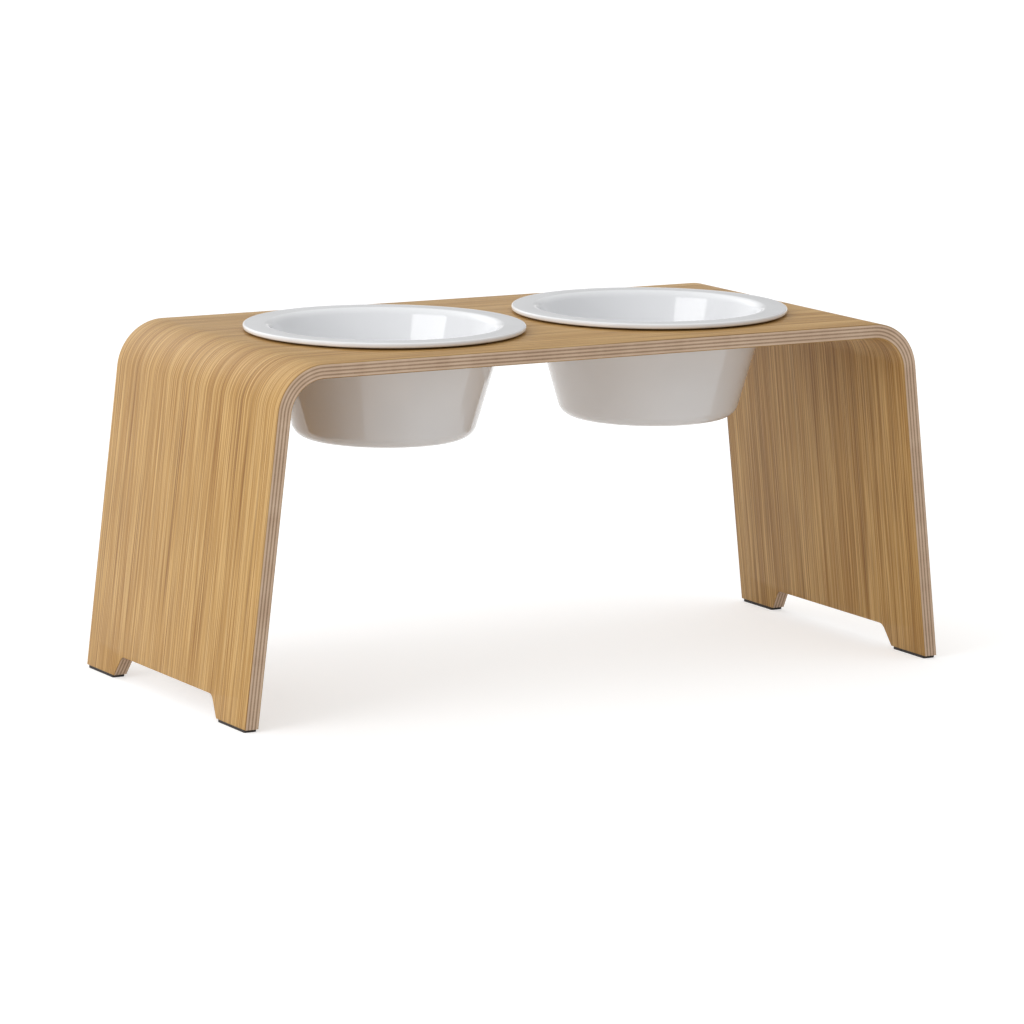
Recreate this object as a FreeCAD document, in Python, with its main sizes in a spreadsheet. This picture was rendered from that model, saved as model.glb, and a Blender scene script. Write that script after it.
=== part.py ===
# Elevated dog feeder: one bent plywood stand with two porcelain bowls dropped into its top.
# Millimetres, +Z up, +X along the table, the front side faces -Y.
# The origin lies on the floor, under the middle of the table.
import FreeCAD, Part
import enum
import math
import os

import Sketcher
from FreeCAD import Vector

# Driving dimensions: name, value and meaning. Lengths in millimetres, angles in degrees.
SIZES = (
    ("bowl_mouth", 169.0, "outer diameter of a bowl's wall where it passes the table top"),
    ("bowl_drop", 75.0, "from the table top down to the underside of a bowl"),
    ("wall_draft", 16.0, "angle of a bowl's wall from upright"),
    ("wall_thickness", 5.0, "thickness of a bowl's wall"),
    ("floor_thickness", 5.0, "thickness of a bowl's floor"),
    ("flange_width", 15.5, "how far a bowl's rim stands out from its wall"),
    ("flange_thickness", 5.0, "thickness of a bowl's rim"),
    ("flange_seat", 6.0, "width of the flat seat under the rim, next to the wall"),
    ("flange_lift", 1.6, "how far the rim's underside rises from the seat to its edge"),
    ("flange_edge_share", 0.43, "rounding of the rim's edge, as a share of its thickness there"),
    ("lip_radius", 6.0, "rounding from the rim into the bowl"),
    ("inside_radius", 15.0, "rounding from the inner wall to the floor"),
    ("outside_radius", 12.0, "rounding from the outer wall to the underside"),
    ("root_radius", 1.0, "rounding under the rim, where it meets the wall"),
    ("foot_ring_width", 5.0, "width of the ring that a bowl stands on, inside the outer rounding"),
    ("foot_ring_height", 1.5, "height of that ring"),
    ("foot_ring_edge", 0.6, "rounding of the ring's inner edge"),
    ("bowl_clearance", 1.5, "gap round a bowl's wall in its hole"),
    ("rim_gap", 18.0, "gap between the rims of the two bowls"),
    ("side_margin", 25.0, "table top in front of and behind the rims"),
    ("bend_margin", 13.0, "flat table top between a rim and the bend"),
    ("table_height", 249.0, "from the floor to the table top"),
    ("leg_lean", 6.5, "angle by which the legs lean outwards"),
    ("bend_radius", 36.0, "outer radius of the bends"),
    ("veneer_thickness", 0.6, "thickness of each oak face veneer"),
    ("long_ply_thickness", 1.45, "thickness of the core plies whose grain runs along the table"),
    ("cross_ply_thickness", 1.1, "thickness of the core plies whose grain runs across it"),
    ("arris_share", 0.75, "rounding of the board's long edges, as a share of the veneer"),
    ("foot_length", 44.0, "length of each foot along its underside"),
    ("notch_height", 15.0, "height of the notch between two feet"),
    ("notch_flare", 10.0, "how far each side of the notch leans over its height"),
    ("notch_radius", 7.0, "rounding of the notch's upper corners"),
    ("pad_thickness", 2.0, "thickness of the foot pads"),
    ("pad_end_inset", 1.8, "how far a pad stays inside the ends of its foot"),
    ("pad_side_inset", 0.4, "how far a pad stays inside the faces of its leg"),
    ("pad_corner_radius", 1.5, "rounding of a pad's corners"),
)
LONG_PLIES = 4
CROSS_PLIES = LONG_PLIES - 1
FULL_TURN = 360.0
TOUCH = 1e-4
NORMAL = Vector(0, 0, 1)


class At(enum.IntEnum):
    """How a sketch numbers the points of a curve."""

    START = 1
    END = 2
    CENTRE = 3


class Axis(enum.IntEnum):
    """How a sketch numbers its own axes."""

    LEVEL = -1
    UPRIGHT = -2


START, END, CENTRE = At
ORIGIN = (Axis.LEVEL, START)

# Sizes worked out from the driving dimensions, written as expressions that bind to the sheet.
MOUTH_RADIUS = "(Sizes.bowl_mouth / 2)"
RIM_RADIUS = f"({MOUTH_RADIUS} + Sizes.flange_width)"
HOLE_RADIUS = f"({MOUTH_RADIUS} + Sizes.bowl_clearance)"
BOWL_X = f"({RIM_RADIUS} + Sizes.rim_gap / 2)"
HALF_DEPTH = f"({RIM_RADIUS} + Sizes.side_margin)"
BEND_X = f"({BOWL_X} + {RIM_RADIUS} + Sizes.bend_margin)"
BEND_Z = "(Sizes.table_height - Sizes.bend_radius)"
LEG_RISE = f"({BEND_Z} - Sizes.pad_thickness)"
FOOT_X = f"({BEND_X} + (Sizes.bend_radius + {LEG_RISE} * sin(Sizes.leg_lean)) / cos(Sizes.leg_lean))"
CORE = f"({LONG_PLIES} * Sizes.long_ply_thickness + {CROSS_PLIES} * Sizes.cross_ply_thickness)"
BOARD = f"({CORE} + 2 * Sizes.veneer_thickness)"
NOTCH_TOP = "(Sizes.pad_thickness + Sizes.notch_height)"
NOTCH_SLOPE = "(Sizes.notch_flare / Sizes.notch_height)"

doc = FreeCAD.newDocument("DogFeeder")
sheet = doc.addObject("Spreadsheet::Sheet", "Sizes")


def fill_sheet():
    """Write each driving dimension into its own row, with its name as the alias."""
    for row, (name, number, meaning) in enumerate(SIZES, start=1):
        sheet.set(f"A{row}", meaning)
        sheet.set(f"B{row}", str(number))
        sheet.setAlias(f"B{row}", name)
    doc.recompute()


def value(expression):
    """Work out an expression on the sheet as a plain number."""
    return float(sheet.evalExpression(expression))


def new_body(label):
    """Add a body whose label names the sub-part."""
    body = doc.addObject("PartDesign::Body", label)
    body.Label = label
    return body


def origin_plane(body, role):
    """Find one of a body's own origin planes."""
    return next(plane for plane in body.Origin.OriginFeatures if plane.Role == role)


def new_sketch(body, role, name):
    """Add a sketch on one of a body's origin planes."""
    sketch = body.newObject("Sketcher::SketchObject", f"{body.Label}_{name}")
    sketch.AttachmentSupport = [(origin_plane(body, role), "")]
    sketch.MapMode = "FlatFace"
    return sketch


def join(sketch, *pairs):
    """Make pairs of end points, each given as (curve, end, curve, end), coincide."""
    for pair in pairs:
        sketch.addConstraint(Sketcher.Constraint("Coincident", *pair))


def blend(sketch, *pairs):
    """Make pairs of end points meet, with their curves tangent there."""
    for pair in pairs:
        sketch.addConstraint(Sketcher.Constraint("Tangent", *pair))


def dimension(sketch, kind, name, expression, *where):
    """Add a dimension whose value is bound to an expression."""
    number = sketch.addConstraint(Sketcher.Constraint(kind, *where, value(expression)))
    sketch.renameConstraint(number, name)
    sketch.setExpression(f"Constraints.{name}", expression)


def place(sketch, curve, end, name, across, along):
    """Fix an end point by its distances from the sketch's two axes, either of which may be zero."""
    if across == "0":
        sketch.addConstraint(Sketcher.Constraint("PointOnObject", curve, end, Axis.UPRIGHT))
    else:
        dimension(sketch, "DistanceX", f"{name}_x", across, *ORIGIN, curve, end)
    if along == "0":
        sketch.addConstraint(Sketcher.Constraint("PointOnObject", curve, end, Axis.LEVEL))
    else:
        dimension(sketch, "DistanceY", f"{name}_y", along, *ORIGIN, curve, end)


def draw_outline(sketch, corners):
    """Draw a closed outline of straight lines.

    Each corner is a name and the two expressions that place it.
    """
    points = [Vector(value(across), value(along), 0) for _, across, along in corners]
    count = len(points)
    for index, start in enumerate(points):
        sketch.addGeometry(Part.LineSegment(start, points[(index + 1) % count]))
    join(sketch, *[(index, END, (index + 1) % count, START) for index in range(count)])
    for index, (name, across, along) in enumerate(corners):
        place(sketch, index, START, name, across, along)


def add_pad(body, sketch, length, symmetric=False):
    """Thicken a sketch by a length, on one side or evenly on both."""
    pad = body.newObject("PartDesign::Pad", f"{body.Label}_pad")
    pad.Profile = sketch
    pad.setExpression("Length", length)
    if symmetric:
        pad.SideType = "Symmetric"
    doc.recompute()
    return pad


def add_pocket(body, sketch, name):
    """Cut a sketch's outline right through the body, along the sketch's own normal."""
    before = body.Tip.Shape.Volume
    pocket = body.newObject("PartDesign::Pocket", f"{body.Label}_{name}")
    pocket.Profile = sketch
    pocket.Type = "ThroughAll"
    pocket.Reversed = True
    doc.recompute()
    if pocket.Shape.Volume >= before:
        raise ValueError(f"{pocket.Name} cuts nothing")
    return pocket


def add_fillet(body, name, radius, wanted):
    """Round the edges of the body for which a test holds."""
    base = body.Tip
    names = [f"Edge{number}" for number, edge in enumerate(base.Shape.Edges, start=1) if wanted(edge)]
    if not names:
        raise ValueError(f"{body.Label}: no edge for {name}")
    fillet = body.newObject("PartDesign::Fillet", f"{body.Label}_{name}")
    fillet.Base = (base, names)
    fillet.setExpression("Radius", radius)
    doc.recompute()
    return fillet


def draw_ply_half(sketch, outer, inner):
    """Draw one half of a ply: along the table, round the bend and down the leg.

    outer and inner are the depths of the ply's two faces below the board's outer face.
    All plies bend round one centre, so each arc is the board's radius less the depth.
    """
    lean = math.radians(value("Sizes.leg_lean"))
    slant = Vector(math.cos(lean), math.sin(lean), 0)
    centre = Vector(value(BEND_X), value(BEND_Z), 0)
    floor = value("Sizes.pad_thickness")

    def face(depth):
        radius = value(f"Sizes.bend_radius - {depth}")
        top = value(f"Sizes.table_height - {depth}")
        foot = value(f"{FOOT_X} - {depth} / cos(Sizes.leg_lean)")
        return radius, top, Vector(foot, floor, 0), centre + slant * radius

    outer_radius, outer_top, outer_foot, outer_knee = face(outer)
    inner_radius, inner_top, inner_foot, inner_knee = face(inner)
    sketch.addGeometry([
        Part.LineSegment(Vector(0, outer_top, 0), Vector(centre.x, outer_top, 0)),
        Part.ArcOfCircle(Part.Circle(centre, NORMAL, outer_radius), lean, math.pi / 2),
        Part.LineSegment(outer_knee, outer_foot),
        Part.LineSegment(outer_foot, inner_foot),
        Part.LineSegment(inner_foot, inner_knee),
        Part.ArcOfCircle(Part.Circle(centre, NORMAL, inner_radius), lean, math.pi / 2),
        Part.LineSegment(Vector(centre.x, inner_top, 0), Vector(0, inner_top, 0)),
        Part.LineSegment(Vector(0, inner_top, 0), Vector(0, outer_top, 0)),
    ])
    blend(sketch, (0, END, 1, END), (1, START, 2, START), (4, END, 5, START), (5, END, 6, START))
    join(sketch, (2, END, 3, START), (3, END, 4, START), (6, END, 7, START), (7, END, 0, START))
    join(sketch, (1, CENTRE, 5, CENTRE))
    for curve in (0, 3, 6):
        sketch.addConstraint(Sketcher.Constraint("Horizontal", curve))
    sketch.addConstraint(Sketcher.Constraint("Parallel", 2, 4))
    place(sketch, 0, START, "outer_top", "0", f"Sizes.table_height - {outer}")
    place(sketch, 6, END, "inner_top", "0", f"Sizes.table_height - {inner}")
    place(sketch, 2, END, "foot", f"{FOOT_X} - {outer} / cos(Sizes.leg_lean)", "Sizes.pad_thickness")
    dimension(sketch, "DistanceX", "bend_x", BEND_X, *ORIGIN, 1, CENTRE)
    dimension(sketch, "Radius", "bend", f"Sizes.bend_radius - {outer}", 1)


def draw_notch(sketch):
    """Draw the notch between two feet: wider at the floor, with rounded upper corners."""
    flare = value("Sizes.notch_flare")
    height = value("Sizes.notch_height")
    radius = value("Sizes.notch_radius")
    slope = math.hypot(flare, height)
    bottom_half = f"({HALF_DEPTH} - Sizes.foot_length + Sizes.pad_thickness * {NOTCH_SLOPE})"
    top_half = f"({HALF_DEPTH} - Sizes.foot_length - Sizes.notch_flare)"
    slope_text = "sqrt(Sizes.notch_flare * Sizes.notch_flare + Sizes.notch_height * Sizes.notch_height)"
    flat_half = (
        f"({top_half} - Sizes.notch_radius * ({slope_text} - Sizes.notch_flare) / Sizes.notch_height)"
    )
    wide = value(bottom_half)
    narrow = value(flat_half)
    top = value(NOTCH_TOP)
    turn = math.atan2(flare, height)
    shoulder = Vector(narrow + radius * height / slope, top - radius + radius * flare / slope, 0)
    mirrored_shoulder = Vector(-shoulder.x, shoulder.y, 0)
    right = Part.Circle(Vector(narrow, top - radius, 0), NORMAL, radius)
    left = Part.Circle(Vector(-narrow, top - radius, 0), NORMAL, radius)
    sketch.addGeometry([
        Part.LineSegment(Vector(-wide, 0, 0), Vector(wide, 0, 0)),
        Part.LineSegment(Vector(wide, 0, 0), shoulder),
        Part.ArcOfCircle(right, turn, math.pi / 2),
        Part.LineSegment(Vector(narrow, top, 0), Vector(-narrow, top, 0)),
        Part.ArcOfCircle(left, math.pi / 2, math.pi - turn),
        Part.LineSegment(mirrored_shoulder, Vector(-wide, 0, 0)),
    ])
    blend(sketch, (1, END, 2, START), (2, END, 3, START), (3, END, 4, START), (4, END, 5, START))
    join(sketch, (0, END, 1, START), (5, END, 0, START))
    for curve in (0, 3):
        sketch.addConstraint(Sketcher.Constraint("Symmetric", curve, START, curve, END, Axis.UPRIGHT))
    sketch.addConstraint(Sketcher.Constraint("Equal", 2, 4))
    place(sketch, 0, END, "foot_end", bottom_half, "0")
    place(sketch, 3, START, "notch_top", flat_half, NOTCH_TOP)
    dimension(sketch, "Radius", "corner", "Sizes.notch_radius", 2)


def make_ply(label, outer, inner):
    """Build one ply of the bent board, with the bowl holes and the notches between the feet."""
    body = new_body(label)
    profile = new_sketch(body, "XZ_Plane", "profile")
    draw_ply_half(profile, outer, inner)
    doc.recompute()
    pad = add_pad(body, profile, f"2 * {HALF_DEPTH}", symmetric=True)

    hole = new_sketch(body, "XY_Plane", "hole_outline")
    centre = Vector(value(BOWL_X), 0, 0)
    hole.addGeometry(Part.Circle(centre, NORMAL, value(HOLE_RADIUS)))
    place(hole, 0, CENTRE, "hole", BOWL_X, "0")
    dimension(hole, "Radius", "hole_radius", HOLE_RADIUS, 0)
    hole_cut = add_pocket(body, hole, "hole")

    notch = new_sketch(body, "YZ_Plane", "notch_outline")
    draw_notch(notch)
    notch_cut = add_pocket(body, notch, "notch")

    whole = body.newObject("PartDesign::Mirrored", f"{label}_whole")
    whole.Originals = [pad, hole_cut, notch_cut]
    whole.MirrorPlane = (origin_plane(body, "YZ_Plane"), [""])
    body.Tip = whole
    doc.recompute()
    return body


def soften_long_edges(body, depth):
    """Round a face veneer's long edges, where its outer side meets the front and the back.

    depth is how far that side lies below the board's outer face.
    """
    side = value(HALF_DEPTH)
    top = value(f"Sizes.table_height - {depth}")
    radius = value(f"Sizes.bend_radius - {depth}")
    foot = value(f"{FOOT_X} - {depth} / cos(Sizes.leg_lean)")
    lean = math.radians(value("Sizes.leg_lean"))
    floor = value("Sizes.pad_thickness")
    bend = Vector(value(BEND_X), 0, value(BEND_Z))

    def on_face(point):
        across = abs(point.x)
        if across <= bend.x:
            return abs(point.z - top) < TOUCH
        reach = math.hypot(across - bend.x, point.z - bend.z)
        upright = foot - (point.z - floor) * math.tan(lean)
        return min(abs(reach - radius), abs(across - upright)) < TOUCH

    def wanted(edge):
        first, last = edge.ParameterRange
        points = [edge.valueAt(first), edge.valueAt((first + last) / 2), edge.valueAt(last)]
        return all(abs(abs(point.y) - side) < TOUCH and on_face(point) for point in points)

    add_fillet(body, "soft_edges", "Sizes.arris_share * Sizes.veneer_thickness", wanted)


def core_depth(plies):
    """Give the depth below the board's outer face that its veneer and its first core plies reach.

    Long-grain and cross-grain plies take turns, starting with a long-grain one.
    """
    long_plies = (plies + 1) // 2
    cross_plies = plies // 2
    return (
        f"(Sizes.veneer_thickness + {long_plies} * Sizes.long_ply_thickness"
        f" + {cross_plies} * Sizes.cross_ply_thickness)"
    )


def make_board():
    """Build the plies of the board from its outer face to its inner one."""
    outer_veneer = make_ply("outer_oak_veneer", "0", "Sizes.veneer_thickness")
    soften_long_edges(outer_veneer, "0")
    bodies = [outer_veneer]
    for number in range(1, LONG_PLIES + CROSS_PLIES + 1):
        bodies.append(make_ply(f"core_ply_{number}", core_depth(number - 1), core_depth(number)))
    inner_veneer = make_ply("inner_oak_veneer", f"(Sizes.veneer_thickness + {CORE})", BOARD)
    soften_long_edges(inner_veneer, BOARD)
    bodies.append(inner_veneer)
    return bodies


def make_bowl(label, side):
    """Turn one bowl about its axis; side is -1 for the left bowl and 1 for the right one.

    The bowl's own origin is on its axis, level with the table top that its rim lies on.
    """
    draft = "tan(Sizes.wall_draft)"
    wall_across = "Sizes.wall_thickness / cos(Sizes.wall_draft)"
    under = "(0 - Sizes.bowl_drop)"
    recess = f"({under} + Sizes.foot_ring_height)"
    floor = f"({recess} + Sizes.floor_thickness)"
    base_radius = f"({MOUTH_RADIUS} - Sizes.bowl_drop * {draft})"
    ring_radius = f"({base_radius} - Sizes.outside_radius - Sizes.foot_ring_width)"
    lip_radius = f"({MOUTH_RADIUS} + Sizes.flange_thickness * {draft} - {wall_across})"
    floor_radius = f"({MOUTH_RADIUS} + {floor} * {draft} - {wall_across})"

    body = new_body(label)
    profile = new_sketch(body, "XZ_Plane", "profile")
    draw_outline(profile, [
        ("recess_centre", "0", recess),
        ("recess_edge", ring_radius, recess),
        ("ring_edge", ring_radius, under),
        ("base_edge", base_radius, under),
        ("mouth", MOUTH_RADIUS, "0"),
        ("seat_edge", f"({MOUTH_RADIUS} + Sizes.flange_seat)", "0"),
        ("rim_under", RIM_RADIUS, "Sizes.flange_lift"),
        ("rim_top", RIM_RADIUS, "Sizes.flange_thickness"),
        ("lip", lip_radius, "Sizes.flange_thickness"),
        ("floor_edge", floor_radius, floor),
        ("floor_centre", "0", floor),
    ])
    doc.recompute()
    turned = body.newObject("PartDesign::Revolution", f"{label}_turned")
    turned.Profile = profile
    turned.ReferenceAxis = (profile, ["V_Axis"])
    turned.Angle = FULL_TURN
    doc.recompute()

    def ring_at(radius, height):
        def wanted(edge):
            if not isinstance(edge.Curve, Part.Circle):
                return False
            level = abs(edge.Curve.Center.z - value(height)) < TOUCH
            return level and abs(edge.Curve.Radius - value(radius)) < TOUCH
        return wanted

    rim_edge = "Sizes.flange_edge_share * (Sizes.flange_thickness - Sizes.flange_lift)"
    add_fillet(body, "lip_round", "Sizes.lip_radius", ring_at(lip_radius, "Sizes.flange_thickness"))
    add_fillet(body, "rim_upper_round", rim_edge, ring_at(RIM_RADIUS, "Sizes.flange_thickness"))
    add_fillet(body, "rim_lower_round", rim_edge, ring_at(RIM_RADIUS, "Sizes.flange_lift"))
    add_fillet(body, "root_round", "Sizes.root_radius", ring_at(MOUTH_RADIUS, "0"))
    add_fillet(body, "inside_round", "Sizes.inside_radius", ring_at(floor_radius, floor))
    add_fillet(body, "outside_round", "Sizes.outside_radius", ring_at(base_radius, under))
    add_fillet(body, "ring_round", "Sizes.foot_ring_edge", ring_at(ring_radius, under))
    body.setExpression("Placement.Base.x", f"{side} * {BOWL_X}")
    body.setExpression("Placement.Base.z", "Sizes.table_height")
    return body


def make_foot_pad(label, side, row):
    """Build one foot pad; side is -1 on the left leg, and row is -1 in front."""
    half_length = "(Sizes.foot_length / 2 - Sizes.pad_end_inset)"
    board_across = f"({BOARD} / cos(Sizes.leg_lean))"
    half_width = f"({board_across} / 2 - Sizes.pad_side_inset)"
    body = new_body(label)
    outline = new_sketch(body, "XY_Plane", "outline")
    draw_outline(outline, [
        ("first", f"-1 * {half_width}", f"-1 * {half_length}"),
        ("second", half_width, f"-1 * {half_length}"),
        ("third", half_width, half_length),
        ("fourth", f"-1 * {half_width}", half_length),
    ])
    doc.recompute()
    add_pad(body, outline, "Sizes.pad_thickness")

    def upright(edge):
        ends = [vertex.Point for vertex in edge.Vertexes]
        return abs(ends[0].z - ends[1].z) > TOUCH

    add_fillet(body, "corners", "Sizes.pad_corner_radius", upright)
    body.setExpression("Placement.Base.x", f"{side} * ({FOOT_X} - {board_across} / 2)")
    body.setExpression("Placement.Base.y", f"{row} * ({HALF_DEPTH} - Sizes.foot_length / 2)")
    return body


def make_foot_pads():
    """Build the four foot pads, one under each foot."""
    rows = (("front", -1), ("rear", 1))
    sides = (("left", -1), ("right", 1))
    return [
        make_foot_pad(f"{row_name}_{side_name}_foot_pad", side, row)
        for row_name, row in rows
        for side_name, side in sides
    ]


def check_and_write(bodies):
    """Stop if anything failed to compute, then write one file for each sub-part."""
    for item in doc.Objects:
        if "Invalid" in item.State or "Error" in item.State:
            raise ValueError(f"{item.Label} failed: {item.State}")
    for body in bodies:
        shape = body.Shape
        if shape.isNull() or not shape.isValid() or len(shape.Solids) != 1:
            raise ValueError(f"{body.Label} is not one sound solid")
    os.makedirs("parts", exist_ok=True)
    for body in bodies:
        body.Shape.exportStep(f"parts/{body.Label}.step")
        box = body.Shape.optimalBoundingBox()
        extent = f"{box.XLength:.1f} x {box.YLength:.1f} x {box.ZLength:.1f} mm"
        print(f"{body.Label}: {extent}, {body.Shape.Volume:.0f} mm3")


fill_sheet()
pieces = make_board()
pieces.append(make_bowl("left_bowl", -1))
pieces.append(make_bowl("right_bowl", 1))
pieces.extend(make_foot_pads())
doc.recompute()
check_and_write(pieces)
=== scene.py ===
"""Looks of an elevated dog feeder: a table bent from oak plywood, with porcelain bowls hung in it.

Every length is in metres and every piece is made where the CAD frame has it.
"""

import enum
import logging
import math
from collections.abc import Mapping, Sequence
from dataclasses import dataclass, field

import bmesh
import bpy
from mathutils import Matrix, Vector


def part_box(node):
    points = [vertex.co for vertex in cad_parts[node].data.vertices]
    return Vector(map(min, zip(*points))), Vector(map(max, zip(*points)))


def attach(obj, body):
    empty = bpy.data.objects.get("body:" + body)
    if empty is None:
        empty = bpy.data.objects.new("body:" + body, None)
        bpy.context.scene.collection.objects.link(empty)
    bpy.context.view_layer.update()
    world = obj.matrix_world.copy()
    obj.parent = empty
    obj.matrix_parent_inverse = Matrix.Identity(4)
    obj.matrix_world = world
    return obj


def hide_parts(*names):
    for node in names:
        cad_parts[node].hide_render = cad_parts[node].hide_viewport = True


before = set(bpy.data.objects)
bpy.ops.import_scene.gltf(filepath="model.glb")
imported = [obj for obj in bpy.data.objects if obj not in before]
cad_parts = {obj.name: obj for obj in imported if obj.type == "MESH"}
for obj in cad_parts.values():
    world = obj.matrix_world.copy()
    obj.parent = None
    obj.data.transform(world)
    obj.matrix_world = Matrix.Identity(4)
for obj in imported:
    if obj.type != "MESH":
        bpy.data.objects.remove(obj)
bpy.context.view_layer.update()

MM = 0.001
QUARTER_TURN = math.pi / 2
PHOTO_WIDTH = 1024
SENSOR_WIDTH = 36.0
SOFT_EDGES = "bevel_weight_edge"
ARRIS_STEPS = 3
# Points this near are one, heights this near are level, and edges that turn by more are corners.
WELD = 1e-6
LEVEL_SLACK = 1e-5
CORNER_ANGLE = 1.0

log = logging.getLogger("dog_feeder")

Socket = bpy.types.NodeSocket
Value = float | int | Sequence[float] | Socket | bpy.types.Material
Place = tuple[float, float, float]
Colour = tuple[float, float, float, float]


class Body(enum.Enum):
    """The bodies of the frame that pieces ride on."""

    STAND = "stand"
    LEFT_BOWL = "left_bowl"
    RIGHT_BOWL = "right_bowl"


class Slot(enum.Enum):
    """The record's material slots."""

    OAK_VENEER = "oak_veneer"
    PALE_PLY = "pale_ply"
    DARK_PLY = "dark_ply"
    PORCELAIN = "porcelain"
    PAD_RUBBER = "pad_rubber"


class Grain(enum.Enum):
    """The way the grain of a ply runs on the flat sheet, as an axis of the sheet."""

    ALONG = "X"
    ACROSS = "Y"


def paint(red: int, green: int, blue: int) -> Colour:
    """Turn a display colour into the linear colour that shaders take.

    Args:
        red: Red from 0 to 255.
        green: Green from 0 to 255.
        blue: Blue from 0 to 255.

    Returns:
        The linear colour with full alpha.
    """
    def linear(level: int) -> float:
        """Undo the display curve for one channel."""
        share = level / 255
        return share / 12.92 if share <= 0.04045 else ((share + 0.055) / 1.055) ** 2.4

    return linear(red), linear(green), linear(blue), 1.0


class Graph:
    """Short ways to add nodes to a node tree and to join them."""

    def __init__(self, tree: bpy.types.NodeTree) -> None:
        """Keep the tree that nodes are added to."""
        self.tree = tree

    def feed(self, socket: Socket, value: Value) -> None:
        """Link a socket to another one, or set its value.

        Args:
            socket: The input to feed.
            value: An output to link, or a plain value.
        """
        if isinstance(value, Socket):
            self.tree.links.new(value, socket)
        else:
            socket.default_value = value

    def add(
        self, kind: str, inputs: Mapping[str | int, Value] | None = None, **settings: object
    ) -> bpy.types.Node:
        """Add a node.

        Args:
            kind: The node's type.
            inputs: What goes into its inputs, by name or place.
            **settings: Properties of the node.

        Returns:
            The new node.
        """
        node = self.tree.nodes.new(kind)
        for name, setting in settings.items():
            setattr(node, name, setting)
        for key, value in (inputs or {}).items():
            self.feed(node.inputs[key], value)
        return node

    def math(self, operation: str, *values: Value, clamp: bool = False) -> Socket:
        """Add a Math node with its inputs in order, held between 0 and 1 if asked, and give its result."""
        node = self.add("ShaderNodeMath", dict(enumerate(values)), operation=operation, use_clamp=clamp)
        return node.outputs[0]

    def times(self, first: Value, second: Value) -> Socket:
        """Multiply two values."""
        return self.math("MULTIPLY", first, second)

    def plus(self, first: Value, second: Value) -> Socket:
        """Add two values."""
        return self.math("ADD", first, second)

    def minus(self, first: Value, second: Value) -> Socket:
        """Take the second value from the first."""
        return self.math("SUBTRACT", first, second)

    def over(self, first: Value, second: Value, clamp: bool = False) -> Socket:
        """Divide the first value by the second, held between 0 and 1 if asked."""
        return self.math("DIVIDE", first, second, clamp=clamp)

    def scaled(self, value: Value, factor: Value, more: Value) -> Socket:
        """Multiply a value by a factor and add a third value."""
        return self.math("MULTIPLY_ADD", value, factor, more)

    def larger(self, first: Value, second: Value) -> Socket:
        """Give the larger of two values."""
        return self.math("MAXIMUM", first, second)

    def split(self, vector: Socket) -> tuple[Socket, ...]:
        """Give the three parts of a vector."""
        return tuple(self.add("ShaderNodeSeparateXYZ", {0: vector}).outputs)

    def vector(self, x: Value, y: Value, z: Value) -> Socket:
        """Join three values into a vector."""
        return self.add("ShaderNodeCombineXYZ", {0: x, 1: y, 2: z}).outputs[0]

    def remap(self, value: Value, low: float, high: float, start: float = 0.0) -> Socket:
        """Stretch the range from low to high onto one from start to 1, held at its ends."""
        return self.add("ShaderNodeMapRange", {0: value, 1: low, 2: high, 3: start, 4: 1.0}).outputs[0]


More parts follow.
